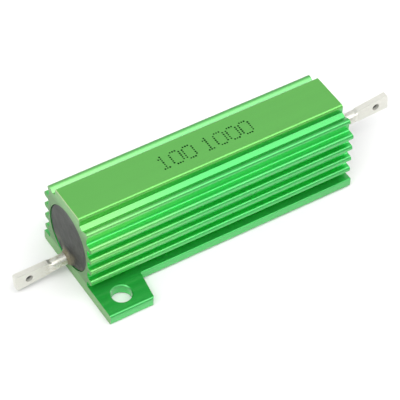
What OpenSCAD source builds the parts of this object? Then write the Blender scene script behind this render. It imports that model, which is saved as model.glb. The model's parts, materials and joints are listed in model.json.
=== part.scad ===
// Aluminium housed wirewound resistor with solder lugs.
// The base stands on Z = 0, the length runs along X and the origin is the centre of the base.

/* [Housing] */
// Length of the extrusion
housing_len = 50; // [40:0.5:70]
// Height from the base to the top face
housing_h = 15.8; // [14.8:0.1:19]
// Thickness of the base flange and of its ears
base_t = 1.95; // [1.5:0.05:2.8]
// Width of the base flange between the ears
flange_w = 16; // [15.4:0.1:20]
// Radius along the upper edges of the flange between the ears
flange_top_r = 0.15; // [0.1:0.05:0.9]
// Radius along the lower edges of the flange between the ears
flange_low_r = 0.6; // [0.1:0.05:0.75]
// Width of the raised cap along the top
cap_w = 7.8; // [6:0.1:9.4]
// Radius along the two edges of the cap
cap_r = 0.5; // [0.2:0.05:0.9]
// Crest of the side lips below the top face
lip_drop = 1.4; // [1:0.05:2]
// Thickness of each side lip
lip_t = 0.8; // [0.7:0.05:1.2]
// Width over the two side lips
lip_w = 12.8; // [12.4:0.1:14.5]
// Radius under each side lip
lip_low_r = 0.3; // [0.1:0.05:0.35]
// Radius from the lip's crest to its outer face
lip_top_r = 0.5; // [0.1:0.05:0.5]
// Radius from the lip's crest to its inner slope
crown_r = 0.9; // [0.3:0.05:1]
// Slope from the crown down into the groove beside the cap, in degrees
lip_slope = 30; // [15:1:32]
// Distance from the cap to the bottom of that groove
groove_out = 0.85; // [0.4:0.05:1]
// Drop from the crest of the lip to the groove's edge at the cap
groove_ledge = 0.15; // [0:0.05:0.2]

/* [Fins] */
// Thickness of a fin
fin_t = 1.1; // [1:0.05:1.5]
// Distance from one fin to the next
fin_pitch = 2.58; // [2.2:0.02:3.4]
// Gap between the base flange and the lowest fin
fin_foot_gap = 1.23; // [0.7:0.01:1.4]
// Width over the tips of the fins
fin_w = 15.1; // [14.6:0.1:17]
// Radius on the upper edge of a fin's tip
fin_top_r = 0.5; // [0.1:0.05:0.5]
// Radius on the lower edge of a fin's tip
fin_low_r = 0.45; // [0.1:0.05:0.45]
// Fillet where a fin meets the web
root_r = 0.3; // [0.1:0.05:0.4]

/* [Bore] */
// Diameter of the bore for the resistance element
bore_d = 11.7; // [10:0.1:12.4]
// Height of the bore's axis above the base
bore_z = 7.7; // [7.2:0.1:8.4]
// Thinnest wall between the bore and the gaps of the fins
web_wall = 0.45; // [0.4:0.05:0.9]
// Loss of the web's half width, level with the top and the bottom of the bore
web_waist = 0.35; // [0:0.05:0.9]

/* [Ears] */
// Width over the two ears
ears_w = 27.2; // [26:0.1:34]
// Length of an ear along its outer edge
ear_len = 8.2; // [7:0.1:12]
// Extra length of an ear where it leaves the flange
ear_flare = 0.7; // [0:0.05:1.5]
// Radius along the outer edges of the ears
ear_edge_r = 0.4; // [0.1:0.05:0.7]
// Radius on the ear's free corner
ear_corner_r = 0.5; // [0.2:0.05:1.5]
// Diameter of the mounting holes
hole_d = 3.5; // [3:0.1:4.3]
// Distance from the end of the housing to the hole's centre
hole_inset = 4; // [3:0.1:5]
// Distance from the ear's outer edge to the hole's centre
hole_edge = 3.4; // [2.6:0.1:4]
// Bevel round both ends of the mounting holes
hole_bevel = 0.15; // [0.05:0.05:0.3]

/* [Resistance element] */
// Diameter of the ceramic core
core_d = 6.6; // [5:0.1:7.4]
// Length of housing that each end of the core stays clear of
core_cover = 7; // [6:0.1:9]
// Bevel on the ends of the core
core_bevel = 0.4; // [0.1:0.05:0.8]
// Height of the core's middle above the base
core_z = 7; // [6.8:0.05:7.6]
// Tilt of the core, right end up, in degrees
core_tilt = 1.2; // [0:0.1:1.6]
// Sideways place of the whole element along the housing
core_shift = 1.15; // [-1.5:0.05:1.5]
// Wall of an end cap
cap_wall = 0.35; // [0.2:0.05:0.5]
// Depth of an end cap over the core
cap_depth = 4.5; // [3:0.1:6]
// Outer radius on the closed end of a cap
cap_edge_r = 0.3; // [0.1:0.05:0.35]
// Diameter of the resistance wire
wire_d = 0.5; // [0.3:0.05:0.6]
// Distance from one turn of wire to the next
wire_pitch = 1.4; // [1:0.05:2.5]
// Length of each end cap that the wire is wound onto
wire_lap = 1.5; // [0.5:0.1:3]

/* [Terminals] */
// Diameter of the round lead
lead_d = 2.1; // [1.6:0.05:2.4]
// Reach of a lug's tip past the end of the housing, before the element's shift
lead_out = 11.05; // [10:0.05:16]
// Diameter of the foot that is welded to the end cap
foot_d = 3; // [2.6:0.1:3.4]
// Thickness of that foot
foot_t = 0.5; // [0.3:0.05:0.8]
// Height at which the left lead leaves the compound
exit_left_z = 3.15; // [3.15:0.05:8]
// Height at which the right lead leaves the compound
exit_right_z = 6.5; // [4:0.05:9]
// Weld of the left lead below the middle of its cap
weld_left_drop = 1.7; // [0:0.05:1.8]
// Weld of the right lead below the middle of its cap
weld_right_drop = 0.6; // [0:0.05:1.8]
// Rise of the left lead towards its tip, in degrees
lead_left_tilt = -4; // [-6:0.5:6]
// Rise of the right lead towards its tip, in degrees
lead_right_tilt = 5.5; // [-6:0.5:6]
// Length of the flat lug
lug_len = 6.1; // [5:0.1:8]
// Height of the flat lug at its tip
lug_h = 3.1; // [2.8:0.1:4]
// Height of the flat lug at its root
lug_root_h = 2.5; // [2.2:0.1:2.7]
// Thickness of the flat lug
lug_t = 1; // [0.6:0.05:1.4]
// Radius on the lug's corners
lug_r = 0.3; // [0.2:0.05:1]
// Length over which the round lead turns into the lug
swage_len = 0.9; // [0.5:0.05:1.5]
// Diameter of the eye for the wire
eye_d = 1.3; // [1:0.05:2]
// Distance from the lug's tip to the eye's centre
eye_inset = 2.45; // [1.6:0.05:3]

/* [Compound] */
// Depth of the compound's faces inside the ends of the housing
face_recess = 0.2; // [0.1:0.05:1]
// Width of the ridge of compound round a lead
ridge_w = 0.6; // [0.3:0.05:1]
// Height of that ridge along the lead
ridge_h = 0.7; // [0.3:0.05:1]
// Clearance between the compound and everything that it fills or surrounds
pot_gap = 0.02; // [0.01:0.01:0.05]
// Clearance between the core, its caps and its wire
core_gap = 0.02; // [0.01:0.01:0.05]

/* [Hidden] */
$fn = 64;

anodised_green = [0.18, 0.62, 0.22];
compound_grey = [0.34, 0.34, 0.33];
ceramic_white = [0.92, 0.9, 0.85];
wire_grey = [0.62, 0.58, 0.52];
cap_steel = [0.7, 0.7, 0.68];
tinned = [0.86, 0.86, 0.83];

far = 100;                  // reaches past the part in any direction
nib = 0.01;                 // lets neighbouring shapes of one piece run into each other
half_len = housing_len / 2;
face_x = half_len - face_recess;

// Section of the housing
lip_crest = housing_h - lip_drop;
lip_z = lip_crest - lip_t;
crest_y = lip_w / 2 - lip_top_r;
groove_y = cap_w / 2 + groove_out;
crown_foot = [crest_y - crown_r * sin(lip_slope), lip_crest - crown_r * (1 - cos(lip_slope))];
groove_z = crown_foot[1] - (crown_foot[0] - groove_y) * tan(lip_slope);
fin_z0 = base_t + fin_foot_gap;
least_gap = 0.6;  // under the lip, or a fin is left out
fin_count = floor((lip_z - least_gap - fin_t - fin_z0) / fin_pitch) + 1;
fin_end = fin_z0 + (fin_count - 1) * fin_pitch + fin_t;

function fin_z(i) = fin_z0 + i * fin_pitch;
function web_half(z) = bore_d / 2 + web_wall - web_waist * pow((z - bore_z) / (bore_d / 2), 2);

// Holes in the ears
hole_x = half_len - hole_inset;
hole_y = ears_w / 2 - hole_edge;

// Resistance element, lengthwise along its own tilted axis
core_half = half_len - core_cover;
cap_in_r = core_d / 2 + core_gap;
cap_out_r = cap_in_r + cap_wall;
cap_face = core_half + core_gap + cap_wall;
cap_rim = cap_face - cap_wall - cap_depth;
wire_seg = 16;               // steps in a turn of wire
wire_ramp = wire_pitch / 2;  // stretch over which the wire climbs from the core onto a cap
wire_climb = cap_rim - core_gap - wire_d / 2 - wire_ramp;
wire_end = cap_rim + wire_lap;
wire_steps = floor(2 * wire_end / wire_pitch * wire_seg);

// A place on the element's own axes, u along the core and w up from it, as [x, z]
function on_element(u, w) = [
    core_shift + u * cos(core_tilt) - w * sin(core_tilt),
    core_z + u * sin(core_tilt) + w * cos(core_tilt)
];

// Leads, one set of values a side: -1 is left, 1 is right
bend_in = lead_d / 2 + 0.3;  // from the face of the compound in to the bend
function exit_z(side) = side < 0 ? exit_left_z : exit_right_z;
function weld_drop(side) = side < 0 ? weld_left_drop : weld_right_drop;
function lead_tilt(side) = side < 0 ? lead_left_tilt : lead_right_tilt;
function outer_turn(side) = side * (90 - lead_tilt(side));
function inner_turn(side) = let (run = bend_at(side) - foot_at(side)) atan2(run[0], run[1]);
function foot_at(side) = on_element(side * (cap_face + foot_t), -weld_drop(side));
function bend_at(side) = [
    side * (face_x - bend_in), exit_z(side) - bend_in * tan(lead_tilt(side))
];
function tip_run(side) =
    (half_len + lead_out + side * core_shift - face_x + bend_in) / cos(lead_tilt(side));

// Bar from the centre plane out to half width w, its outer corners rounded
module rounded_bar(w, z, t, r_low, r_top) {
    polygon([
        [0, z], [w - r_low, z], [w, z + r_low],
        [w, z + t - r_top], [w - r_top, z + t], [0, z + t]
    ]);
    translate([w - r_low, z + r_low]) circle(r_low);
    translate([w - r_top, z + t - r_top]) circle(r_top);
}

// Web between two neighbours, filleted below and, as far as the flat over it reaches, above
module valley(z_low, z_high, reach) {
    gap = z_high - z_low;
    y = web_half((z_low + z_high) / 2);
    r_low = min(root_r, gap / 2 - nib);
    r_high = max(nib, min(r_low, reach - y));
    difference() {
        union() {
            translate([0, z_low - nib]) square([y + r_low, gap / 2 + nib]);
            translate([0, z_low + gap / 2 - nib]) square([y + r_high, gap / 2 + 2 * nib]);
        }
        translate([y, z_low + r_low]) square([far, gap - r_low - r_high]);
        translate([y + r_low, z_low + r_low]) circle(r_low);
        translate([y + r_high, z_high - r_high]) circle(r_high);
    }
}

// Lip beside the cap: a rounded crest and a shallow groove between it and the cap
module lip() {
    difference() {
        rounded_bar(lip_w / 2, lip_z, lip_t, lip_low_r, lip_top_r);
        difference() {
            polygon([
                [cap_w / 2, lip_crest + 1], [cap_w / 2, lip_crest - groove_ledge], [groove_y, groove_z],
                crown_foot, [crest_y, lip_crest], [crest_y, lip_crest + 1]
            ]);
            translate([crest_y, lip_crest - crown_r]) circle(crown_r);
        }
    }
}

// One side of the housing's section, without the bore
module half_section() {
    rounded_bar(flange_w / 2, 0, base_t, flange_low_r, flange_top_r);
    for (i = [0 : fin_count - 1]) {
        rounded_bar(fin_w / 2, fin_z(i), fin_t, fin_low_r, fin_top_r);
        valley(i == 0 ? base_t : fin_z(i) - fin_pitch + fin_t, fin_z(i), fin_w / 2 - fin_low_r);
    }
    valley(fin_end, lip_z, lip_w / 2 - lip_low_r);
    lip();
    translate([0, lip_z]) square([cap_w / 2, lip_t]);
    rounded_bar(cap_w / 2, lip_z, housing_h - lip_z, nib, cap_r);
}

// Extrudes a section, drawn as Y and Z, along X about the middle
module along_x(length) {
    rotate([90, 0, 90]) linear_extrude(length, center = true) children();
}

// Ear at the left end of the near side, seen from above
module ear_outline() {
    x0 = -half_len;
    r = ear_corner_r;
    translate([x0, -ears_w / 2]) {
        polygon([
            [0, 0], [ear_len - r, 0], [ear_len, r],
            [ear_len + ear_flare, (ears_w - flange_w) / 2],
            [ear_len + ear_flare, ears_w / 2], [0, ears_w / 2]
        ]);
        translate([ear_len - r, r]) circle(r);
    }
}

module ear() {
    difference() {
        intersection() {
            linear_extrude(base_t) ear_outline();
            along_x(2 * far) for (side = [0, 1]) mirror([side, 0])
                rounded_bar(ears_w / 2, 0, base_t, ear_edge_r, ear_edge_r);
        }
        translate([-hole_x, -hole_y, base_t / 2]) {
            cylinder(h = base_t + 2, d = hole_d, center = true);
            for (m = [0, 1]) mirror([0, 0, m]) translate([0, 0, base_t / 2 - hole_bevel])
                cylinder(h = 2 * hole_bevel, d1 = hole_d, d2 = hole_d + 4 * hole_bevel);
        }
    }
}

module housing() {
    color(anodised_green) difference() {
        union() {
            along_x(housing_len) for (side = [0, 1]) mirror([side, 0]) half_section();
            ear();
            rotate(180) ear();
        }
        translate([0, 0, bore_z]) rotate([0, 90, 0])
            cylinder(h = 2 * far, d = bore_d, center = true);
    }
}

// Places what is drawn along X onto the element's tilted axis
module element_axis() {
    translate([core_shift, 0, core_z]) rotate([0, -core_tilt, 0]) children();
}

// Turns a half outline, drawn as length and radius, about X
module turned() {
    rotate([0, 90, 0]) rotate_extrude() mirror([1, -1]) children();
}

module core() {
    b = core_bevel;
    color(ceramic_white) element_axis() turned() polygon([
        [-core_half, 0], [-core_half, core_d / 2 - b], [-core_half + b, core_d / 2],
        [core_half - b, core_d / 2], [core_half, core_d / 2 - b], [core_half, 0]
    ]);
}

// Middle of the wire at step i, then a point of the ring round it
function wire_x(i) = (i - wire_steps / 2) * wire_pitch / wire_seg;
function wire_seat(x) = let (rise = min(1, max(0, (abs(x) - wire_climb) / wire_ramp)))
    core_d / 2 + rise * (cap_out_r - core_d / 2);
function wire_r(x) = (wire_seat(x) + core_gap + wire_d / 2) / cos(180 / wire_seg);
function wire_point(i, a) = let (turn = 360 * i / wire_seg, r = wire_r(wire_x(i)) + wire_d / 2 * cos(a))
    [wire_x(i) + wire_d / 2 * sin(a), r * cos(turn), r * sin(turn)];

// Resistance wire, one helix that climbs onto a cap at each end
module winding() {
    sides = 6;
    points = [for (i = [0 : wire_steps], k = [0 : sides - 1]) wire_point(i, 360 * k / sides)];
    walls = [
        for (i = [0 : wire_steps - 1], k = [0 : sides - 1])
            let (a = i * sides, n = (k + 1) % sides)
                [a + k, a + n, a + sides + n, a + sides + k]
    ];
    ends = [
        [for (k = [0 : sides - 1]) sides - 1 - k],
        [for (k = [0 : sides - 1]) wire_steps * sides + k]
    ];
    color(wire_grey) element_axis() polyhedron(points, concat(walls, ends), convexity = 10);
}

// Cup pressed over one end of the core
module end_cap(side) {
    r = cap_edge_r;
    color(cap_steel) element_axis() mirror([side < 0 ? 1 : 0, 0, 0]) turned() difference() {
        union() {
            translate([cap_rim, 0]) square([cap_face - cap_rim - r, cap_out_r]);
            translate([cap_rim, 0]) square([cap_face - cap_rim, cap_out_r - r]);
            translate([cap_face - r, cap_out_r - r]) circle(r);
        }
        translate([cap_rim - 1, -1]) square([core_half + core_gap - cap_rim + 1, cap_in_r + 1]);
    }
}

// Places what is drawn along +X from the bend of a lead outwards
module lead_axis(side) {
    p = bend_at(side);
    translate([p[0], 0, p[1]]) mirror([side < 0 ? 1 : 0, 0, 0])
        rotate([0, -lead_tilt(side), 0]) children();
}

// Everything past the mitre of a lead's bend: outwards for way 1, inwards for way -1
module past_bend(side, way) {
    b = bend_at(side);
    translate([b[0], 0, b[1]]) rotate([0, (inner_turn(side) + outer_turn(side)) / 2, 0])
        translate([0, 0, way * far]) cube(2 * far, center = true);
}

// Lead inside the compound, cut flush on the cap, and its foot; extra grows it all round
module inner_lead(side, extra = 0) {
    b = bend_at(side);
    reach = norm(b - foot_at(side)) + foot_t;
    difference() {
        translate([b[0], 0, b[1]]) rotate([0, inner_turn(side), 0]) translate([0, 0, -reach])
            cylinder(h = reach + lead_d, d = lead_d + 2 * extra);
        element_axis() translate([side * (cap_face - far), 0, 0]) cube(2 * far, center = true);
        past_bend(side, 1);
    }
    element_axis() translate([side * cap_face, 0, -weld_drop(side)])
        rotate([0, side * 90, 0]) cylinder(h = foot_t + extra, d = foot_d + 2 * extra);
}

// Round lead along +X through the bend out to the lug, its end pressed to the lug's thickness
module outer_lead(run) {
    lug_x = run - lug_len;
    back = swage_len * (2 * lead_d - lug_t) / (lead_d - lug_t);
    intersection() {
        translate([-lead_d, 0, 0]) rotate([0, 90, 0]) cylinder(h = lug_x + lead_d, d = lead_d);
        translate([0, 0, -lead_d]) linear_extrude(2 * lead_d) polygon([
            [-2 * lead_d, -lead_d], [lug_x - back, -lead_d], [lug_x, -lug_t / 2],
            [lug_x, lug_t / 2], [lug_x - back, lead_d], [-2 * lead_d, lead_d]
        ]);
    }
}

// Flat lug, flared out of the round lead and on to its tip, whose corners are rounded
module lug(run) {
    lug_x = run - lug_len;
    root = sqrt(lead_d * lead_d - lug_t * lug_t) / 2 - 5 * nib;
    top = lug_h / 2;
    rotate([90, 0, 0]) linear_extrude(lug_t, center = true) {
        polygon([
            [lug_x - swage_len, -root], [lug_x, -lug_root_h / 2], [run - lug_r, -top],
            [run, lug_r - top], [run, top - lug_r], [run - lug_r, top],
            [lug_x, lug_root_h / 2], [lug_x - swage_len, root]
        ]);
        for (z = [-1, 1]) translate([run - lug_r, z * (top - lug_r)]) circle(lug_r);
    }
}

module terminal(side) {
    run = tip_run(side);
    color(tinned) difference() {
        union() {
            inner_lead(side);
            difference() {
                lead_axis(side) outer_lead(run);
                past_bend(side, -1);
            }
            lead_axis(side) lug(run);
        }
        lead_axis(side) translate([run - eye_inset, 0, 0]) rotate([90, 0, 0])
            cylinder(h = lug_t + 1, d = eye_d, center = true);
    }
}

// Room for the core, its wire and its caps
module element_room() {
    g = pot_gap;
    lap_end = wire_end + wire_d / 2 + g;
    low = wire_r(0) + wire_d / 2 + g;
    high = wire_r(wire_end) + wire_d / 2 + g;
    outline = [
        [wire_climb - g, low], [wire_climb - g, high], [lap_end, high], [lap_end, cap_out_r + g],
        [cap_face + g, cap_out_r + g], [cap_face + g, 0]
    ];
    element_axis() turned() for (m = [0, 1]) mirror([m, 0])
        polygon(concat([[-nib, 0], [-nib, low]], outline));
}

// Plug of compound along the bore, drawn to any length
module bore_plug(length) {
    translate([0, 0, bore_z]) rotate([0, 90, 0])
        cylinder(h = length, d = bore_d - 2 * pot_gap, center = true);
}

// Cone of compound drawn up round a lead, from its bend outwards along +X
module ridge() {
    height = bend_in + ridge_h;
    rotate([0, 90, 0])
        cylinder(h = height, r1 = lead_d / 2 + height * ridge_w / ridge_h, r2 = lead_d / 2);
}

module moulding() {
    color(compound_grey) difference() {
        union() {
            bore_plug(2 * face_x);
            intersection() {
                for (side = [-1, 1]) lead_axis(side) ridge();
                bore_plug(2 * (face_x + ridge_h));
            }
        }
        element_room();
        for (side = [-1, 1]) {
            inner_lead(side, pot_gap);
            difference() {
                lead_axis(side) translate([-lead_d, 0, 0]) rotate([0, 90, 0])
                    cylinder(h = tip_run(side), d = lead_d + 2 * pot_gap);
                past_bend(side, -1);
            }
        }
    }
}

housing();
moulding();
core();
winding();
end_cap(-1);  // end_cap_left
end_cap(1);  // end_cap_right
terminal(-1);  // terminal_left
terminal(1);  // terminal_right
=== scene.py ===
"""Finishes, cast faces, marking and studio for an aluminium housed resistor, built round its packed frame.

Lengths in the properties are in millimetres unless their unit says otherwise; meshes are in metres.
"""

import json
import math
import random

import bmesh
import bpy
from mathutils import Matrix, Vector, noise


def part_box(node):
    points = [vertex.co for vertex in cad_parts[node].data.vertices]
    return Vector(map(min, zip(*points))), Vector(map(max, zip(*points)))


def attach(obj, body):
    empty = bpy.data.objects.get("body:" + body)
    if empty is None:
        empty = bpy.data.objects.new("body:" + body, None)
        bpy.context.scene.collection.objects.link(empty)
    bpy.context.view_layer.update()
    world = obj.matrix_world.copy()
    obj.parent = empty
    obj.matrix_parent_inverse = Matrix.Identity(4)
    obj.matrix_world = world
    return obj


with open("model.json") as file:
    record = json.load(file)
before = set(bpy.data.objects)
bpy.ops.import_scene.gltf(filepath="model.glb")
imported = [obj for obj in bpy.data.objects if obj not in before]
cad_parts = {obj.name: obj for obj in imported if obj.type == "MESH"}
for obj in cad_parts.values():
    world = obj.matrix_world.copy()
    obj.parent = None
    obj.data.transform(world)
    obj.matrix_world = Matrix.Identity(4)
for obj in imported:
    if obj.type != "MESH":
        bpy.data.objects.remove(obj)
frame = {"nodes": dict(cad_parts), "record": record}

bl_info = {
    "name": "Housed Resistor Finish",
    "version": (1, 0, 0),
    "blender": (4, 5, 0),
    "location": "View3D > Sidebar > Resistor",
    "description": "Finishes, cast faces, marking and studio for an aluminium housed resistor",
    "category": "Object",
}

MM = 0.001
SIDES = {"left": -1, "right": 1}

# Places on the frame, in millimetres
HALF_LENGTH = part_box("housing")[1].x / MM
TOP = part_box("housing")[1].z / MM
PLUG_LOW, PLUG_HIGH = (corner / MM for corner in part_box("moulding"))
BORE_RADIUS = PLUG_HIGH.y
BORE_HEIGHT = (PLUG_LOW.z + PLUG_HIGH.z) / 2
EYES = [mount for mount in frame["record"]["mounts"] if mount["name"].startswith("eye_")]

# Where a shade of the housing's skin starts and where it is full, in millimetres out from the middle or up
EAR_OUT = (-8.0, -8.6)
EAR_UP = (0.8, 1.9)
GAP_OUT = (7.3, 6.8)
GAP_FLOOR_UP = (2.0, 2.3)
GAP_ROOF_UP = (TOP - 3.2, TOP - 3.6)
FAR_LIP_OUT = (4.5, 5.5)
FAR_CREST_OUT = (6.05, 6.3)
LIP_UP = (TOP - 3.0, TOP - 2.0)
WARM_LIGHT_UP = (1.5, 6.0)
CAP_UP = (TOP - 1.2, TOP - 0.1)
# The same on its sawn ends
WEB_OUT = (6.7, 6.1)
FLANGE_UP = (2.6, 2.0)
PALE_UP = (TOP - 3.5, TOP - 1.0)
DEBURRED_EDGE_UP = (TOP - 0.5, TOP - 0.1)
# Painted shadow of the lead on the compound: its place across and up, and where it starts and is full
LEAD_SHADOW_PLACE = (-1.7, 5.0)
LEAD_SHADOW_RADII = (2.6, 0.8)
# Where the resin along a lead starts and is full, and the same for the polish of its round pin
RESIN_ALONG = (HALF_LENGTH + 7.0, HALF_LENGTH + 0.8)
PIN_ALONG = (HALF_LENGTH + 5.0, HALF_LENGTH + 4.0)


# ---------------------------------------------------------------- node trees


class Value:
    """A socket of a node tree that Python's arithmetic works on."""

    def __init__(self, tree, socket):
        self.tree = tree
        self.socket = socket

    def math(self, operation, *terms):
        return add(self.tree, "ShaderNodeMath", {"operation": operation}, dict(enumerate(terms)))

    def __add__(self, other):
        return self.math("ADD", self, other)

    def __radd__(self, other):
        return self.math("ADD", other, self)

    def __sub__(self, other):
        return self.math("SUBTRACT", self, other)

    def __rsub__(self, other):
        return self.math("SUBTRACT", other, self)

    def __mul__(self, other):
        return self.math("MULTIPLY", self, other)

    def __rmul__(self, other):
        return self.math("MULTIPLY", other, self)

    def __truediv__(self, other):
        return self.math("DIVIDE", self, other)

    def __pow__(self, other):
        return self.math("POWER", self, other)

    def __abs__(self):
        return self.math("ABSOLUTE", self)

    def most(self, other):
        """The larger of the two."""
        return self.math("MAXIMUM", self, other)

    def above(self, limit):
        return self.math("GREATER_THAN", self, limit)

    def step(self, low, high):
        """0 at low, 1 at high and smooth between them; low may be the larger."""
        sockets = {"Value": self, "From Min": low, "From Max": high}
        return add(self.tree, "ShaderNodeMapRange", {"interpolation_type": "SMOOTHSTEP"}, sockets)


def add(tree, kind, settings=None, sockets=None, output=0):
    """Adds a node, makes its settings, then fills its sockets with values or links."""
    node = tree.nodes.new(kind)
    for name, setting in (settings or {}).items():
        setattr(node, name, setting)
    for key, value in (sockets or {}).items():
        if isinstance(value, Value):
            tree.links.new(value.socket, node.inputs[key])
        else:
            node.inputs[key].default_value = value
    return Value(tree, node.outputs[output])


class Finish:
    """A material under construction, in the part's own coordinates and in millimetres."""

    def __init__(self, name):
        self.material = bpy.data.materials.new(name)
        self.material.use_nodes = True
        self.tree = self.material.node_tree
        self.tree.nodes.clear()
        metres = self.add("ShaderNodeTexCoord", output="Object")
        self.place = self.add("ShaderNodeVectorMath", {"operation": "SCALE"}, {0: metres, "Scale": 1 / MM})
        self.x, self.y, self.z = (
            self.add("ShaderNodeSeparateXYZ", sockets={0: self.place}, output=axis) for axis in "XYZ"
        )

    def add(self, kind, settings=None, sockets=None, output=0):
        return add(self.tree, kind, settings, sockets, output)

    def noise(self, scale, detail=2.0, stretch=(1, 1, 1), roughness=0.5):
        """Noise from 0 to 1 with scale cycles to a millimetre, times stretch along each axis."""
        place = self.add("ShaderNodeVectorMath", {"operation": "MULTIPLY"}, {0: self.place, 1: stretch})
        sockets = {"Vector": place, "Scale": scale, "Detail": detail, "Roughness": roughness}
        return self.add("ShaderNodeTexNoise", sockets=sockets)

    def mix(self, factor, first, second):
        """The first colour where factor is 0, the second where it is 1."""
        return self.add("ShaderNodeMix", {"data_type": "RGBA"}, {0: factor, 6: first, 7: second}, output=2)

    def tone(self, factor, colour, low, high):
        """A colour that goes from low to high times its strength as factor goes from 0 to 1."""
        return self.mix(factor, shade(colour, low), shade(colour, high))

    def relief(self, height):
        """Normals for a relief whose height is in millimetres."""
        return self.add("ShaderNodeBump", sockets={"Height": height, "Strength": 1.0, "Distance": MM})

    def close(self, **sockets):
        """Ends the tree in one Principled shader, whose sockets are named with underscores."""
        named = {name.replace("_", " "): value for name, value in sockets.items()}
        shader = self.add("ShaderNodeBsdfPrincipled", sockets=named)
        result = self.tree.nodes.new("ShaderNodeOutputMaterial")
        self.tree.links.new(shader.socket, result.inputs["Surface"])
        return self.material


def shade(colour, factor):
    """A colour made lighter or darker, as the four numbers that a socket takes."""
    return (*(min(channel * factor, 1.0) for channel in colour[:3]), 1.0)


def distance(axes, place):
    """Distance from a place, measured over two of a finish's axes."""
    across, up = (axis - value for axis, value in zip(axes, place))
    return (across**2 + up**2) ** 0.5


# ---------------------------------------------------------------- properties


def colour(name, description, default):
    return bpy.props.FloatVectorProperty(
        name=name, description=description, default=default, size=3, subtype="COLOR", min=0, max=1
    )


def number(name, description, default, **limits):
    return bpy.props.FloatProperty(name=name, description=description, default=default, **limits)


class ResistorFinish(bpy.types.PropertyGroup):
    """Colours and textures of the finishes."""

    anodised: colour("Anodised", "Green of the anodised aluminium", (0.045, 0.53, 0.105))
    # Painted reflection: a brighter, deeper green for light bounced between the fins
    gap_reflection: colour("Deep", "Deeper green of the skin in the gaps between the fins", (0.033, 0.70, 0.12))
    # Painted warm light: a yellower green for the skin towards its left end, also the base of the far lip's
    # and fin ends' painted tones
    warm_light_tint: colour("Warm_light_tint", "Yellower green of the skin towards its left end", (0.17, 0.58, 0.14))
    # Painted warm light: a yellower green for the cap's flat top
    crest: colour("Crest", "Yellower green of the cap's flat top", (0.135, 0.56, 0.085))
    sawn: colour("Sawn ends", "Paler green of the sawn and anodised ends", (0.130, 0.262, 0.108))
    # Partly painted highlight: a pale yellow strip on the deburred top edge of each end
    deburred_edge_highlight: colour("Fringe", "Pale yellow of the deburred edge at the cap's ends", (0.62, 0.72, 0.36))
    # Painted shade: the dark of the far lip's outer crest, where it faces the dark back of the studio
    olive: colour("Olive", "Dark olive of the far lip's outer crest", (0.07, 0.10, 0.025))
    gloss: number("Gloss", "Roughness of the anodised skin", 0.46, min=0, max=1, subtype="FACTOR")
    die_lines: number("Die lines", "Die lines to a millimetre of section", 3.0, min=0.5)
    die_depth: number("Die line depth", "Depth of the die lines in millimetres", 0.004, min=0)
    saw_depth: number("Saw mark depth", "Depth of the saw marks in millimetres", 0.02, min=0)
    compound: colour("Compound", "Grey of the potting compound", (0.027, 0.031, 0.026))
    stain: colour("Resin stain", "Brown of the resin that gathers at a lead", (0.19, 0.17, 0.095))
    tin: colour("Tin", "Colour of the tinned leads", (0.77, 0.765, 0.705))
    ceramic: colour("Ceramic", "Colour of the core", (0.80, 0.76, 0.68))
    wire: colour("Wire", "Colour of the resistance wire", (0.33, 0.30, 0.27))
    cap: colour("End cap", "Colour of the plated end caps", (0.55, 0.55, 0.53))
    ink: colour("Ink", "Colour of the printed dots", (0.002, 0.030, 0.003))


class ResistorCompound(bpy.types.PropertyGroup):
    """Sizes of the compound's cast faces, in millimetres."""

    thickness: number("Thickness", "Mean thickness of the cast skin over the moulding", 0.08, min=0.02)
    unevenness: number("Unevenness", "Height of the dents and swells of the skin", 0.07, min=0)
    shrinkage: number("Shrinkage", "Widest gap that the shrunken skin leaves at the bore", 0.22, min=0)
    climb: number("Climb", "Height to which the compound climbs along a lead", 0.76, min=0)
    reach: number("Reach", "Distance over which the climb dies away", 0.82, min=0.1)
    pits: bpy.props.IntProperty(
        name="Pits", description="Pits in the climb round each lead", default=5, min=0
    )


class ResistorMarking(bpy.types.PropertyGroup):
    """The plain numbers printed in dots on the cap, sizes in millimetres."""

    text: bpy.props.StringProperty(
        name="Numbers", description="Digits and spaces", default="100 1000"
    )
    pitch: number("Dot pitch", "Distance between dots", 0.45, min=0.1)
    advance: number("Advance", "Distance between digits, in dot pitches", 5.4, min=5)
    space: number("Space", "Width of a space, in dot pitches", 2.4, min=1)
    middle: number("Middle", "Middle of the print along the housing", 0.6)
    dot: number("Dot diameter", "Diameter of a dot", 0.33, min=0.05)
    film: number("Film", "Thickness of the ink", 0.012, min=0.002)
    spread: number("Spread", "Random share of a dot's diameter", 0.16, min=0, max=0.5)


class ResistorStage(bpy.types.PropertyGroup):
    """Camera, lights and floor."""

    azimuth: number("Azimuth", "Camera's turn about the part", math.radians(-33.383), subtype="ANGLE")
    elevation: number("Elevation", "Camera's height angle", math.radians(47.737), subtype="ANGLE")
    roll: number("Roll", "Camera's roll", math.radians(2.255), subtype="ANGLE")
    distance: number("Distance", "Camera's distance", 0.36677, subtype="DISTANCE", unit="LENGTH")
    lens: number("Lens", "Focal length in millimetres", 202.61, min=1)
    aim: bpy.props.FloatVectorProperty(
        name="Aim",
        description="Point that the camera looks at",
        default=(-0.00252, -0.00393, 0.008),
        subtype="XYZ",
        unit="LENGTH",
    )
    floor_size: number("Floor", "Side of the floor", 3.0, subtype="DISTANCE", unit="LENGTH")
    floor_shade: number("Floor shade", "Reflectance of the floor", 0.80, min=0, max=1, subtype="FACTOR")
    backdrop: number("Backdrop", "Radiance of the studio's plain backdrop", 0.75, min=0)
    flag: number("Flag", "Radiance of the black card low in front", 0.1, min=0)
    front_box: number("Front softbox", "Radiance of the softbox in front", 1.4, min=0)
    strip: number("Strip light", "Radiance of the narrow light above that softbox", 4.0, min=0)
    overhead: number("Overhead", "Radiance of the panel over the part", 2.0, min=0)
    key: number("Key light", "Power of the long softbox in watts", 0.7, min=0)


# ---------------------------------------------------------------- finishes


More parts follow.
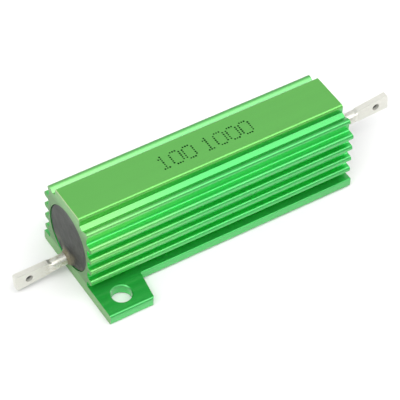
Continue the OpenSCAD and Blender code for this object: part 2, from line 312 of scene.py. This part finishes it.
def anodised_skin(f, look, uneven):
    """Dyed skin with painted light and shade: painted shade darker to the right and on the near ear's top,
    painted warm light yellower to the left and yellowest on the cap, a painted reflection deeper green in
    the gaps, and painted shade darker and yellower on the far lip with a dark line on its crest.
    """
    to_right, to_left = f.x.step(0.0, HALF_LENGTH), f.x.step(0.0, -HALF_LENGTH)
    # Painted shade: the skin darker towards the right end
    skin = f.mix(
        to_right * 0.5, f.tone(uneven, look.anodised, 0.82, 1.18), f.tone(uneven, look.anodised, 0.66, 0.94)
    )
    # Painted warm light: the skin turns yellower towards the left end
    skin = f.mix(to_left * f.z.step(*WARM_LIGHT_UP), skin, f.tone(uneven, look.warm_light_tint, 0.82, 1.18))
    # Painted shade: the near ear's top darker, standing in for the fins reflected in it and their shadow
    skin = f.mix(f.y.step(*EAR_OUT) * f.z.step(*EAR_UP) * 0.6, skin, shade(look.anodised, 0.75))
    # Painted reflection: the gaps between the fins turn a deeper green
    gap = abs(f.y).step(*GAP_OUT) * f.z.step(*GAP_FLOOR_UP) * f.z.step(*GAP_ROOF_UP)
    skin = f.mix(gap * 0.8, skin, f.tone(uneven, look.gap_reflection, 0.85, 1.15))
    lip = f.z.step(*LIP_UP)
    # Painted shade and warm light: the far lip darker and yellower
    skin = f.mix(f.y.step(*FAR_LIP_OUT) * lip * 0.7, skin, shade(look.warm_light_tint, 0.7))
    # Painted shade: a dark olive line along the far lip's outer crest
    skin = f.mix(f.y.step(*FAR_CREST_OUT) * lip * 0.8, skin, shade(look.olive, 1))
    # Painted warm light: the cap's flat top yellowest
    return f.mix(f.z.step(*CAP_UP), skin, f.tone(uneven, look.crest, 0.84, 1.02))


def anodised_end(f, look, saw, grain):
    """Sawn and then anodised end: pale towards the flange and the cap, deburred outside the web, where the
    fin ends take a darkened copy of the warm-lit skin as painted shade.
    """
    cut = f.tone(saw * 0.6 + grain * 0.4, look.sawn, 0.3, 1.7)
    flange = f.z.step(*FLANGE_UP)
    pale = (f.z.step(*PALE_UP) * 0.95).most(flange * 0.75)
    end_tone = f.mix(pale, cut, f.tone(saw, look.sawn, 1.2, 2.0))
    # Pale deburred edge at the cap's ends, partly a painted highlight
    end_tone = f.mix(f.z.step(*DEBURRED_EDGE_UP) * 0.5, end_tone, shade(look.deburred_edge_highlight, 1))
    solid = abs(f.y).step(*WEB_OUT).most(flange)
    # Painted shade: outside the web the fin ends take the warm-lit skin green, darkened
    return f.mix(solid, shade(look.warm_light_tint, 0.55), end_tone)


def anodised_finish(look):
    """Satin green anodised extrusion: die lines along X on the skin and saw marks on the ends."""
    f = Finish("anodised_extrusion")
    die = f.noise(look.die_lines, 3.0, (0.004, 1, 1), 0.6)
    streak = f.noise(0.8, 2.0, (0.02, 1, 1))
    cloud = f.noise(0.1, 2.0)
    grain = f.noise(7.0, 2.0)
    saw = f.noise(2.2, 3.0, (1, 0.18, 2.4), 0.65)
    end = abs(f.x).above(HALF_LENGTH - 0.02)
    skin = anodised_skin(f, look, die * 0.3 + streak * 0.4 + cloud * 0.3)
    drawn_relief = die * look.die_depth + grain * 0.001
    sawn_relief = saw * look.saw_depth + grain * 0.006
    return f.close(
        Base_Color=f.mix(end, skin, anodised_end(f, look, saw, grain)),
        Metallic=0.95 - end * 0.55,
        Roughness=look.gloss + (die - 0.5) * 0.15 + end * 0.22,
        Coat_Weight=1.0 - end * 0.8,
        Coat_Roughness=0.12,
        Coat_IOR=1.6,
        Normal=f.relief(drawn_relief * (1 - end) + sawn_relief * end),
    )


def compound_finish(look):
    """Matt dark grey casting compound, stained where resin gathered round the leads, with painted light
    towards the top of the bore and a painted shadow beside the lead.
    """
    f = Finish("casting_compound")
    broad = f.noise(0.55, 3.0)
    fine = f.noise(5.0, 3.0, roughness=0.65)
    # Painted light: the compound lighter towards the top of the bore
    rim = f.z.step(PLUG_HIGH.z - 1.4, PLUG_HIGH.z - 0.3) * 0.5
    grey = f.mix(rim, f.tone(broad * 0.6 + fine * 0.4, look.compound, 0.6, 1.4), shade(look.compound, 2.6))
    # Painted shadow: the compound darker beside the lead
    lead_shadow = distance((f.y, f.z), LEAD_SHADOW_PLACE)
    grey = f.mix(lead_shadow.step(*LEAD_SHADOW_RADII) * 0.7, grey, shade(look.compound, 0.4))
    low = f.z.step(6.0, 3.0) * broad.step(0.42, 0.62) * 0.5
    climb = abs(f.x).step(HALF_LENGTH - 0.1, HALF_LENGTH + 0.4) * (0.4 + 0.6 * fine)
    stain = low.most(climb)
    return f.close(
        Base_Color=f.mix(stain, grey, f.tone(fine, look.stain, 0.6, 1.4)),
        Roughness=0.62 - stain * 0.2 - broad * 0.15,
        Normal=f.relief(fine * 0.012 + broad * 0.03),
    )


def gap_shade_finish(look):
    """Compound of the moulding, which shows only in the shrinkage gap, painted nearly black and mottled as
    the gap's shade.
    """
    f = Finish("gap_shade_compound")
    shade_mottle = f.noise(3.0, 2.0)
    return f.close(Base_Color=f.tone(shade_mottle, look.compound, 0.04, 0.22), Roughness=0.8 + shade_mottle * 0.15)


def tinned_finish(look):
    """Hot tinned leads: a bright skin with a slight ripple and dull patches, and painted shade inside the
    eyes.
    """
    f = Finish("tinned_lead")
    ripple = f.noise(1.0, 2.0, (0.5, 1, 1))
    dull = f.noise(2.4, 3.0, roughness=0.6)
    drawn = f.noise(5.0, 2.0, (0.05, 1, 1))
    skin = f.tone(dull * 0.7 + drawn * 0.3, look.tin, 0.82, 1.1)
    resin = abs(f.x).step(*RESIN_ALONG) * dull.step(0.42, 0.62) * 0.6
    skin = f.mix(resin, skin, shade(look.stain, 2.0))
    # Painted shade: the walls of the eyes darken towards +Y, where the hole is in shadow
    eye_shade = f.tone(f.y.step(-0.25, 0.3), look.tin, 0.85, 0.1)
    for eye in EYES:
        along, _, up = (place / MM for place in eye["pos_m"])
        rim = eye["dims"]["r_mm"]
        in_eye = distance((f.x, f.z), (along, up)).step(rim * 1.08, rim)
        skin = f.mix(in_eye, skin, eye_shade)
    return f.close(
        Base_Color=skin,
        Metallic=0.75,
        Roughness=0.38 + dull * 0.25 - abs(f.x).step(*PIN_ALONG) * 0.16,
        Normal=f.relief(ripple * 0.08 + drawn * 0.004),
    )


def ceramic_finish(look):
    """Unglazed ceramic of the core."""
    f = Finish("unglazed_ceramic")
    grain = f.noise(5.0, 3.0)
    return f.close(
        Base_Color=f.tone(grain, look.ceramic, 0.86, 1.08),
        Roughness=0.7 + grain * 0.15,
        Normal=f.relief(grain * 0.01),
    )


def wire_finish(look):
    """Oxidised resistance wire."""
    f = Finish("resistance_wire")
    oxide = f.noise(1.6, 2.0)
    return f.close(
        Base_Color=f.tone(oxide, look.wire, 0.7, 1.25), Metallic=0.95, Roughness=0.3 + oxide * 0.2
    )


def cap_finish(look):
    """Plated pressed steel of the end caps."""
    f = Finish("plated_cap")
    drawn = f.noise(4.0, 2.0, (0.08, 1, 1))
    return f.close(
        Base_Color=f.tone(drawn, look.cap, 0.85, 1.12),
        Metallic=0.95,
        Roughness=0.3 + drawn * 0.15,
        Normal=f.relief(drawn * 0.002),
    )


def ink_finish(look):
    """Dark print ink, uneven in each dot."""
    f = Finish("print_ink")
    patch = f.noise(4.0, 2.0)
    return f.close(
        Base_Color=f.tone(patch, look.ink, 0.6, 2.0), Roughness=0.75 + patch * 0.2, Specular_IOR_Level=0.1
    )


def dress(node, material):
    """Gives a CAD node its finish, in the slots that it has."""
    slots = frame["nodes"][node].data.materials
    for index in range(len(slots)):
        slots[index] = material


# ---------------------------------------------------------------- cast faces


def lead_section(side, out):
    """Middle height and radius of a lead, out millimetres past the end of the housing."""
    mesh = bmesh.new()
    mesh.from_mesh(frame["nodes"]["terminal_" + side].data)
    cut = bmesh.ops.bisect_plane(
        mesh,
        geom=[*mesh.verts, *mesh.edges, *mesh.faces],
        plane_co=(SIDES[side] * (HALF_LENGTH + out) * MM, 0, 0),
        plane_no=(1, 0, 0),
    )
    heights = [item.co.z / MM for item in cut["geom_cut"] if isinstance(item, bmesh.types.BMVert)]
    mesh.free()
    return (min(heights) + max(heights)) / 2, (max(heights) - min(heights)) / 2


def plug_face():
    """Distance from the housing's middle to the moulding's flat end."""
    rim = (v.co / MM for v in frame["nodes"]["moulding"].data.vertices)
    return max(v.x for v in rim if math.hypot(v.y, v.z - BORE_HEIGHT) > BORE_RADIUS - 0.05)


class CastFace:
    """The skin of compound at one end: uneven, shrunk from the bore and climbing at the lead."""

    rings = 44
    steps = 132
    bedded = 0.05
    thinned = 0.35  # width of the skin that thins towards its rim
    pit_depth = 0.05
    gap_turn = math.radians(25)  # turn of the widest gap below +Y

    def __init__(self, side, sizes):
        self.side = side
        self.sign = SIDES[side]
        self.sizes = sizes
        self.face = plug_face()
        self.lead_z, self.lead_r = lead_section(side, 0)
        self.rise = lead_section(side, 1)[0] - self.lead_z
        dice = random.Random(side)
        self.pits = [
            (dice.gauss(math.pi / 2, 0.8), dice.uniform(0.15, 0.55), dice.uniform(0.1, 0.2))
            for _ in range(sizes.pits)
        ]

    def lead_middle(self, out):
        """Height of the lead's middle, out millimetres past the moulding's face."""
        return self.lead_z + self.rise * (self.face + out - HALF_LENGTH)

    def gap(self, angle):
        """Shrinkage at the bore, widest low down and towards +Y."""
        wave = 0.5 + 0.5 * noise.noise(Vector((math.cos(angle) * 2, math.sin(angle) * 2, self.sign)))
        share = 0.5 + 0.5 * math.cos(angle + self.gap_turn)
        return self.sizes.shrinkage * (0.12 + 0.88 * share * wave)

    def height(self, y, z):
        """Height of the skin over the moulding's face."""
        sizes = self.sizes
        spot = Vector((y, z, self.sign * 7.0))
        swell = noise.fractal(spot * 0.45, 1.0, 2.0, 3)
        crumb = noise.fractal(spot * 2.6, 0.8, 2.0, 3)
        height = sizes.thickness + sizes.unevenness * (0.7 * swell + 0.25 * crumb)
        away = math.hypot(y, z - self.lead_middle(0)) - self.lead_r
        climb = max(0.0, 1 - away / (sizes.reach * (1 + 0.25 * swell)))
        height += sizes.climb * climb**1.3 * (1 + 0.12 * crumb)
        edge = BORE_RADIUS - math.hypot(y, z - BORE_HEIGHT)
        height -= sizes.thickness * 0.9 * max(0.0, 1 - edge / self.thinned) ** 2
        for angle, distance, radius in self.pits:
            pit_y = (self.lead_r + distance) * math.cos(angle)
            pit_z = self.lead_middle(0) + (self.lead_r + distance) * math.sin(angle)
            near = math.hypot(y - pit_y, z - pit_z) / radius
            height -= self.pit_depth * math.exp(-near * near)
        return height

    def ring(self, share):
        """Points from the lead, at share 0, to the rim of the skin, at share 1."""
        points = []
        for step in range(self.steps):
            angle = math.tau * step / self.steps
            reach = BORE_RADIUS - self.gap(angle)
            rim = Vector((reach * math.cos(angle), BORE_HEIGHT + reach * math.sin(angle)))
            out = 0.0
            for _ in range(2):
                root = Vector(
                    (self.lead_r * math.cos(angle), self.lead_middle(out) + self.lead_r * math.sin(angle))
                )
                spot = root.lerp(rim, share)
                out = self.height(spot.x, spot.y)
            points.append(self.place(out, spot))
        return points

    def place(self, out, spot):
        return Vector((self.sign * (self.face + out), spot.x, spot.y)) * MM

    def build(self):
        """The closed mesh, its back bedded in the moulding."""
        mesh = bmesh.new()
        rows = []
        for ring in range(self.rings + 1):
            share = ring / self.rings
            share = 0.35 * share + 0.65 * (1 - math.cos(math.pi * share)) / 2
            rows.append([mesh.verts.new(point) for point in self.ring(share)])
        for row in (rows[-1], rows[0]):
            back = [Vector((self.sign * (self.face - self.bedded) * MM, v.co.y, v.co.z)) for v in row]
            rows.append([mesh.verts.new(point) for point in back])
        for inner, outer in zip(rows, rows[1:] + rows[:1]):
            for step in range(self.steps):
                after = (step + 1) % self.steps
                mesh.faces.new((inner[step], outer[step], outer[after], inner[after]))
        bmesh.ops.recalc_face_normals(mesh, faces=mesh.faces)
        for row in rows[-3:]:
            for first, second in zip(row, row[1:] + row[:1]):
                mesh.edges.get((first, second)).smooth = False
        return add_piece("cast_face_" + self.side, mesh)


def add_piece(name, mesh):
    """Turns a bmesh into a smooth-shaded object of the scene."""
    data = bpy.data.meshes.new(name)
    for face in mesh.faces:
        face.smooth = True
    mesh.to_mesh(data)
    mesh.free()
    piece = bpy.data.objects.new(name, data)
    bpy.context.scene.collection.objects.link(piece)
    return piece


# ---------------------------------------------------------------- marking

DIGITS = {
    "0": ".###. #...# #...# #...# #...# #...# .###.",
    "1": "..#.. .##.. ..#.. ..#.. ..#.. ..#.. .###.",
    "2": ".###. #...# ....# ...#. ..#.. .#... #####",
    "3": ".###. #...# ....# ..##. ....# #...# .###.",
    "4": "...#. ..##. .#.#. #..#. ##### ...#. ...#.",
    "5": "##### #.... ####. ....# ....# #...# .###.",
    "6": "..##. .#... #.... ####. #...# #...# .###.",
    "7": "##### ....# ...#. ..#.. ..#.. ..#.. ..#..",
    "8": ".###. #...# #...# .###. #...# #...# .###.",
    "9": ".###. #...# #...# .#### ....# ...#. .##..",
}
DIGIT_ROWS = 7
DIGIT_COLUMNS = 5


def dot_places(marking):
    """Places of the dots on the cap, in metres, read from the -Y side."""
    places = []
    pen = 0.0
    for letter in marking.text:
        if letter == " ":
            pen += marking.space
            continue
        for row, dots in enumerate(DIGITS[letter].split()):
            lift = (DIGIT_ROWS - 1) / 2 - row
            places += [(pen + column, lift) for column, dot in enumerate(dots) if dot == "#"]
        pen += marking.advance
    width = pen - marking.advance + DIGIT_COLUMNS - 1
    height = TOP + marking.film / 2
    return [
        Vector((marking.middle + (along - width / 2) * marking.pitch, lift * marking.pitch, height)) * MM
        for along, lift in places
    ]


def dot_tree(ink):
    """Geometry nodes that put a low round dot of ink on each point."""
    tree = bpy.data.node_groups.new("printed_dots", "GeometryNodeTree")
    sizes = ("Diameter", "Film", "Spread")
    tree.interface.new_socket("Points", in_out="INPUT", socket_type="NodeSocketGeometry")
    for name in sizes:
        tree.interface.new_socket(name, in_out="INPUT", socket_type="NodeSocketFloat")
    tree.interface.new_socket("Dots", in_out="OUTPUT", socket_type="NodeSocketGeometry")
    given = tree.nodes.new("NodeGroupInput")
    points, diameter, film, spread = (Value(tree, given.outputs[key]) for key in ("Points", *sizes))
    dot = add(tree, "GeometryNodeMeshCylinder", sockets={"Vertices": 12, "Radius": 0.5, "Depth": 1.0})
    luck = add(
        tree,
        "FunctionNodeRandomValue",
        {"data_type": "FLOAT"},
        {2: -1.0, 3: 1.0, "Seed": 7},
        output=1,
    )
    width = diameter * (1 + luck * spread)
    size = add(tree, "ShaderNodeCombineXYZ", sockets={0: width, 1: width, 2: film})
    placed = add(
        tree, "GeometryNodeInstanceOnPoints", sockets={"Points": points, "Instance": dot, "Scale": size}
    )
    whole = add(tree, "GeometryNodeRealizeInstances", sockets={"Geometry": placed})
    inked = add(tree, "GeometryNodeSetMaterial", sockets={"Geometry": whole, "Material": ink})
    result = tree.nodes.new("NodeGroupOutput")
    tree.links.new(inked.socket, result.inputs["Dots"])
    return tree


def baked(carrier, tree, inputs, name):
    """The plain mesh that a tree makes of the carrier, in the carrier's place."""
    modifier = carrier.modifiers.new(name, "NODES")
    modifier.node_group = tree
    for item in tree.interface.items_tree:
        if item.in_out == "INPUT" and item.name in inputs:
            modifier[item.identifier] = inputs[item.name]
    evaluated = carrier.evaluated_get(bpy.context.evaluated_depsgraph_get())
    mesh = bpy.data.meshes.new_from_object(evaluated)
    mesh.name = name
    bpy.data.objects.remove(carrier)
    piece = bpy.data.objects.new(name, mesh)
    bpy.context.scene.collection.objects.link(piece)
    return piece


def add_marking(marking, ink):
    """The dots of the numbers as one piece."""
    mesh = bpy.data.meshes.new("dot_places")
    mesh.from_pydata(dot_places(marking), [], [])
    carrier = bpy.data.objects.new("dot_places", mesh)
    bpy.context.scene.collection.objects.link(carrier)
    inputs = {"Diameter": marking.dot * MM, "Film": marking.film * MM, "Spread": marking.spread}
    return baked(carrier, dot_tree(ink), inputs, "printed_numbers")


# ---------------------------------------------------------------- stage

# Edges of the studio's panels in degrees round the X axis, from the near horizon (0) over the top (90)
FLAG = (15, 35)
FRONT_BOX = (35, 60)
STRIP = (60, 75)
OVERHEAD = (75, 95)
FAR_HORIZON = 180
# Degrees over which the light of one panel passes into the next
FADE = 5
# The long softbox: its place and the point it is aimed at in metres, and its two sides
KEY_PLACE = (-0.35, -0.12, 0.5)
KEY_AIM = (0, 0, 0.01)
KEY_SIZE = (0.6, 0.12)
# Drop of the floor below the part, in millimetres
FLOOR_DROP = 0.02


def add_camera(stage):
    """The camera, turned about its own view by the roll."""
    back = Vector(
        (
            math.sin(stage.azimuth) * math.cos(stage.elevation),
            -math.cos(stage.azimuth) * math.cos(stage.elevation),
            math.sin(stage.elevation),
        )
    )
    right = Vector((0, 0, 1)).cross(back).normalized()
    upright = Matrix((right, back.cross(right), back)).transposed()
    turned = upright @ Matrix.Rotation(stage.roll, 3, "Z")
    data = bpy.data.cameras.new("camera")
    data.lens = stage.lens
    data.sensor_width = 36
    data.clip_start = 0.01
    camera = bpy.data.objects.new("camera", data)
    bpy.context.scene.collection.objects.link(camera)
    camera.matrix_world = Matrix.Translation(Vector(stage.aim) + back * stage.distance) @ turned.to_4x4()
    bpy.context.scene.camera = camera


def add_floor(stage):
    """A pale floor just under the part."""
    mesh = bmesh.new()
    bmesh.ops.create_grid(mesh, x_segments=8, y_segments=8, size=stage.floor_size / 2)
    for vert in mesh.verts:
        vert.co.z = -FLOOR_DROP * MM
    floor = add_piece("floor", mesh)
    f = Finish("studio_floor")
    paper = f.noise(0.02, 2.0)
    pale = (stage.floor_shade,) * 3
    floor.data.materials.append(f.close(Base_Color=f.tone(paper, pale, 0.995, 1.005), Roughness=0.9))


def studio_lights(stage):
    """Radiance of the studio round the X axis, as degrees and levels between which it passes evenly."""
    panels = (
        (FLAG, stage.flag),
        (FRONT_BOX, stage.front_box),
        (STRIP, stage.strip),
        (OVERHEAD, stage.overhead),
    )
    lights = [(0, stage.backdrop), (FLAG[0] - FADE / 2, stage.backdrop)]
    for (low, high), radiance in panels:
        lights += [(low + FADE / 2, radiance), (high - FADE / 2, radiance)]
    return [*lights, (OVERHEAD[1] + FADE / 2, stage.backdrop), (FAR_HORIZON, stage.backdrop)]


def add_sky(stage):
    """Soft surroundings with the studio's panels, and plain white where the camera sees them."""
    world = bpy.data.worlds.new("studio")
    world.use_nodes = True
    tree = world.node_tree
    tree.nodes.clear()
    way = add(tree, "ShaderNodeTexCoord", output="Generated")
    y, z = (add(tree, "ShaderNodeSeparateXYZ", sockets={0: way}, output=axis) for axis in "YZ")
    turn = z.math("ARCTAN2", z, 0 - y) / math.pi
    lights = studio_lights(stage)
    brightest = max(radiance for _, radiance in lights)
    ramp = add(tree, "ShaderNodeValToRGB", sockets={"Fac": turn})
    stops = ramp.socket.node.color_ramp.elements
    for degrees, _ in lights[1:-1]:
        stops.new(degrees / FAR_HORIZON)
    for stop, (degrees, radiance) in zip(stops, lights):
        stop.position = degrees / FAR_HORIZON
        stop.color = shade((1, 1, 1), radiance / brightest)
    seen = add(tree, "ShaderNodeLightPath", output="Is Camera Ray")
    plain = shade((1, 1, 1), 1 / brightest)
    colour_seen = add(tree, "ShaderNodeMix", {"data_type": "RGBA"}, {0: seen, 6: ramp, 7: plain}, output=2)
    glow = add(tree, "ShaderNodeBackground", sockets={"Color": colour_seen, "Strength": brightest})
    result = tree.nodes.new("ShaderNodeOutputWorld")
    tree.links.new(glow.socket, result.inputs["Surface"])
    bpy.context.scene.world = world


def add_softbox(name, place, aim, size, power):
    """A rectangular softbox at a place in metres, its long side along X, aimed at a point."""
    data = bpy.data.lights.new(name, "AREA")
    data.shape = "RECTANGLE"
    data.size, data.size_y = size
    data.energy = power
    light = bpy.data.objects.new(name, data)
    bpy.context.scene.collection.objects.link(light)
    light.location = place
    light.rotation_euler = (Vector(place) - Vector(aim)).to_track_quat("Z", "Y").to_euler()


# ---------------------------------------------------------------- operators


class RESISTOR_OT_housing(bpy.types.Operator):
    """Finishes the anodised housing"""

    bl_idname = "resistor.housing"
    bl_label = "Finish housing"

    def execute(self, context):
        dress("housing", anodised_finish(context.scene.resistor_finish))
        return {"FINISHED"}


class RESISTOR_OT_compound(bpy.types.Operator):
    """Finishes the moulding and casts its two uneven end faces"""

    bl_idname = "resistor.compound"
    bl_label = "Cast compound"

    def execute(self, context):
        look = context.scene.resistor_finish
        dress("moulding", gap_shade_finish(look))
        material = compound_finish(look)
        for side in SIDES:
            piece = CastFace(side, context.scene.resistor_compound).build()
            piece.data.materials.append(material)
            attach(piece, "root")
        return {"FINISHED"}


class RESISTOR_OT_terminals(bpy.types.Operator):
    """Finishes the two tinned terminals"""

    bl_idname = "resistor.terminals"
    bl_label = "Finish terminals"

    def execute(self, context):
        material = tinned_finish(context.scene.resistor_finish)
        for side in SIDES:
            dress("terminal_" + side, material)
        return {"FINISHED"}


class RESISTOR_OT_element(bpy.types.Operator):
    """Finishes the core, its winding and its end caps, which the compound hides"""

    bl_idname = "resistor.element"
    bl_label = "Finish element"

    def execute(self, context):
        look = context.scene.resistor_finish
        dress("core", ceramic_finish(look))
        dress("winding", wire_finish(look))
        plated = cap_finish(look)
        for side in SIDES:
            dress("end_cap_" + side, plated)
        return {"FINISHED"}


class RESISTOR_OT_marking(bpy.types.Operator):
    """Prints plain numbers in dots on the cap"""

    bl_idname = "resistor.marking"
    bl_label = "Print numbers"

    def execute(self, context):
        piece = add_marking(context.scene.resistor_marking, ink_finish(context.scene.resistor_finish))
        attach(piece, "root")
        return {"FINISHED"}


class RESISTOR_OT_stage(bpy.types.Operator):
    """Adds the floor, the soft lights and the camera"""

    bl_idname = "resistor.stage"
    bl_label = "Add stage"

    def execute(self, context):
        stage = context.scene.resistor_stage
        add_floor(stage)
        add_sky(stage)
        add_softbox("key", KEY_PLACE, KEY_AIM, KEY_SIZE, stage.key)
        add_camera(stage)
        context.scene.view_settings.view_transform = "Standard"
        return {"FINISHED"}


class RESISTOR_PT_panel(bpy.types.Panel):
    """The resistor's pieces and their sizes"""

    bl_idname = "RESISTOR_PT_panel"
    bl_label = "Housed resistor"
    bl_space_type = "VIEW_3D"
    bl_region_type = "UI"
    bl_category = "Resistor"

    def draw(self, context):
        for operator in OPERATORS:
            self.layout.operator(operator.bl_idname)
        for name, group in GROUPS.items():
            box = self.layout.box()
            box.label(text=group.__doc__)
            for field in group.__annotations__:
                box.prop(getattr(context.scene, name), field)


OPERATORS = (
    RESISTOR_OT_housing,
    RESISTOR_OT_compound,
    RESISTOR_OT_terminals,
    RESISTOR_OT_element,
    RESISTOR_OT_marking,
    RESISTOR_OT_stage,
)
GROUPS = {
    "resistor_finish": ResistorFinish,
    "resistor_compound": ResistorCompound,
    "resistor_marking": ResistorMarking,
    "resistor_stage": ResistorStage,
}


def register():
    for name, group in GROUPS.items():
        bpy.utils.register_class(group)
        setattr(bpy.types.Scene, name, bpy.props.PointerProperty(type=group))
    for cls in (*OPERATORS, RESISTOR_PT_panel):
        bpy.utils.register_class(cls)


def unregister():
    for cls in (RESISTOR_PT_panel, *reversed(OPERATORS)):
        bpy.utils.unregister_class(cls)
    for name, group in GROUPS.items():
        delattr(bpy.types.Scene, name)
        bpy.utils.unregister_class(group)


def main():
    register()
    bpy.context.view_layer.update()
    for operator in OPERATORS:
        getattr(bpy.ops.resistor, operator.bl_idname.split(".")[1])()


if __name__ == "__main__":
    main()
